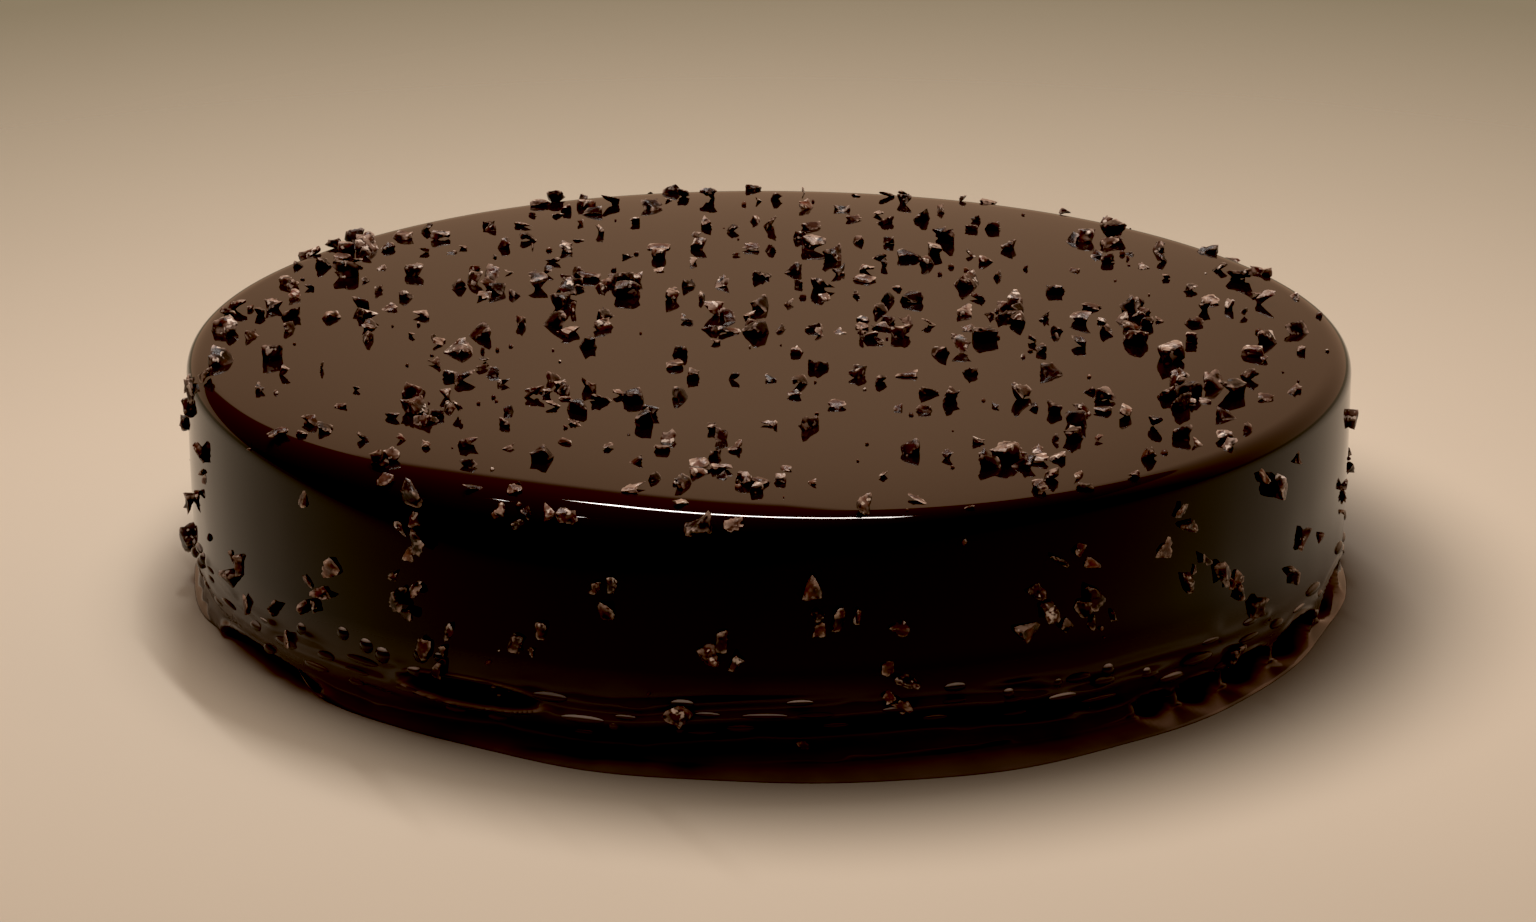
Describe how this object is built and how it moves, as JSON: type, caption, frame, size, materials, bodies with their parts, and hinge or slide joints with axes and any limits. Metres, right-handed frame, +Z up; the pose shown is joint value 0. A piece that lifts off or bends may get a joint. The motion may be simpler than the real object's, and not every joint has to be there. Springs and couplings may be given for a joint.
{
  "type": "chocolate entremet",
  "caption": "Whole round mousse cake under a dark mirror glaze, with a rounded top edge, a lumpy glazed foot and scattered cacao nibs.",
  "frame": {"origin": "centre of the flat underside", "axes": "+Z up through the middle of the top; -Y is the front that the picture shows, +X is to its right"},
  "size_m": [0.2455, 0.2462, 0.055],
  "materials": {
    "glaze": "mirror-smooth dark chocolate glaze, near black, brown where it is thin or reflects a pale room",
    "nibs": "broken roasted cacao nibs, dry and satin, near black to reddish brown with paler shell"
  },
  "bodies": {
    "root": {"entremet": "glaze"}
  },
  "joints": []
}
